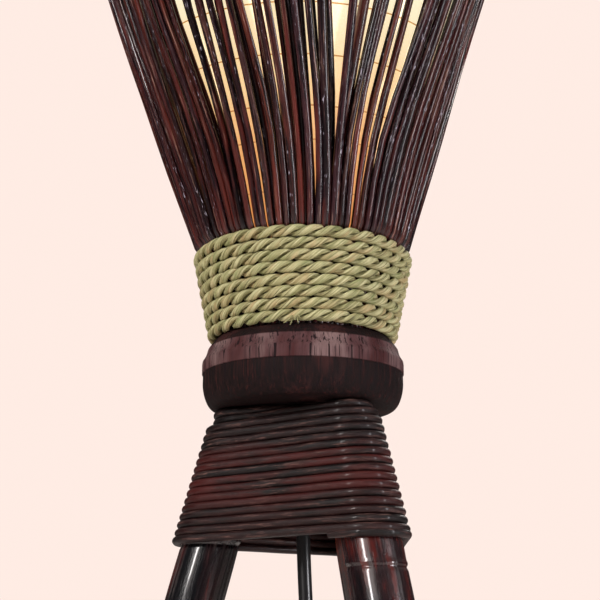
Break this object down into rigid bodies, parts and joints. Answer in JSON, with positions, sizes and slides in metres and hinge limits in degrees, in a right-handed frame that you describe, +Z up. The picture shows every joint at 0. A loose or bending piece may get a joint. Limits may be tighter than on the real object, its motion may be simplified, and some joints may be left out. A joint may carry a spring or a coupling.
{
  "type": "tripod floor lamp",
  "caption": "Floor lamp on a bamboo tripod, with a turned wood collar, rattan and seagrass bindings, and a flaring shade of dark sticks round a paper lantern.",
  "frame": {"origin": "on the floor, under the vertical axis of the collar and the shade", "axes": "+Z up the lamp's axis, +X to the right and -Y towards a viewer in front, with leg 1 at the left"},
  "size_m": [0.4526, 0.4514, 1.2398],
  "materials": {
    "bamboo": "stained dark red-brown, glossy lacquer",
    "rattan": "stained dark brown cane, semi-gloss",
    "collar_wood": "stained and lacquered turned wood",
    "stick": "stained dark red-brown, glossy lacquer",
    "seagrass": "natural green-yellow twisted grass",
    "plain_wood": "bare wood",
    "paper": "cream rice paper, translucent",
    "steel": "zinc plated",
    "brass": "plain brass",
    "nickel": "nickel plated",
    "black_plastic": "moulded black, satin",
    "porcelain": "unglazed white",
    "bulb_plastic": "moulded white",
    "bulb_globe": "frosted diffuser",
    "cord_black": "smooth black mains lead jacket",
    "rubber": "matt black rubber",
    "tie": "black hook-and-loop strap"
  },
  "bodies": {
    "frame": {"leg_1": "bamboo", "leg_2": "bamboo", "leg_3": "bamboo", "leg_dowel_1": "plain_wood", "leg_dowel_2": "plain_wood", "leg_dowel_3": "plain_wood", "stick_hub": "plain_wood", "leg_screw_1": "steel", "leg_screw_2": "steel", "leg_screw_3": "steel", "threaded_tube": "steel", "washer": "steel", "lantern_bottom_ring": "steel", "lantern_top_ring": "steel", "foot_pad_1": "rubber", "foot_pad_2": "rubber", "foot_pad_3": "rubber", "rattan_binding": "rattan", "stick_hoop": "rattan", "turned_collar": "collar_wood", "stick_panel_01": "stick", "stick_panel_02": "stick", "stick_panel_03": "stick", "stick_panel_04": "stick", "stick_panel_05": "stick", "stick_panel_06": "stick", "stick_panel_07": "stick", "stick_panel_08": "stick", "stick_panel_09": "stick", "stick_panel_10": "stick", "stick_panel_11": "stick", "stick_panel_12": "stick", "seagrass_rope": "seagrass", "lantern_paper": "paper", "upper_nut": "brass", "lower_nut": "brass", "centre_contact": "brass", "thread_sleeve": "brass", "plug_pin_1": "brass", "plug_pin_2": "brass", "holder_cap": "black_plastic", "holder_shell": "black_plastic", "cord_grip": "black_plastic", "switch_base": "black_plastic", "switch_cover": "black_plastic", "switch_relief_1": "black_plastic", "switch_relief_2": "black_plastic", "plug_body": "black_plastic", "holder_insulator": "porcelain", "inner_flex": "cord_black", "cord_drop": "cord_black", "cord_lead": "cord_black", "cord_tail": "cord_black", "cord_coil": "cord_black", "coil_tie": "tie"},
    "button": {"switch_button": "black_plastic"},
    "bulb_carrier": {"bulb_tip": "brass"},
    "bulb": {"bulb_cap": "nickel", "bulb_body": "bulb_plastic", "bulb_globe": "bulb_globe"}
  },
  "joints": [
    {"name": "switch_press", "type": "slide", "parent": "frame", "child": "button", "axis": [0, 0, -1], "range_m": [0, 0.003], "stiffness_N_per_m": 300, "springref_m": -0.003},
    {"name": "bulb_lift", "type": "slide", "parent": "frame", "child": "bulb_carrier", "axis": [0, 0, 1], "range_m": [0, 0.011]},
    {"name": "bulb_turn", "type": "hinge", "parent": "bulb_carrier", "child": "bulb", "pos_m": [0, 0, 0.77], "axis": [0, 0, 1], "range_deg": [0, 1080]}
  ],
  "couplings": [
    {"joint": "bulb_lift", "follows": "bulb_turn", "m_per_rad": 0.00057773}
  ]
}
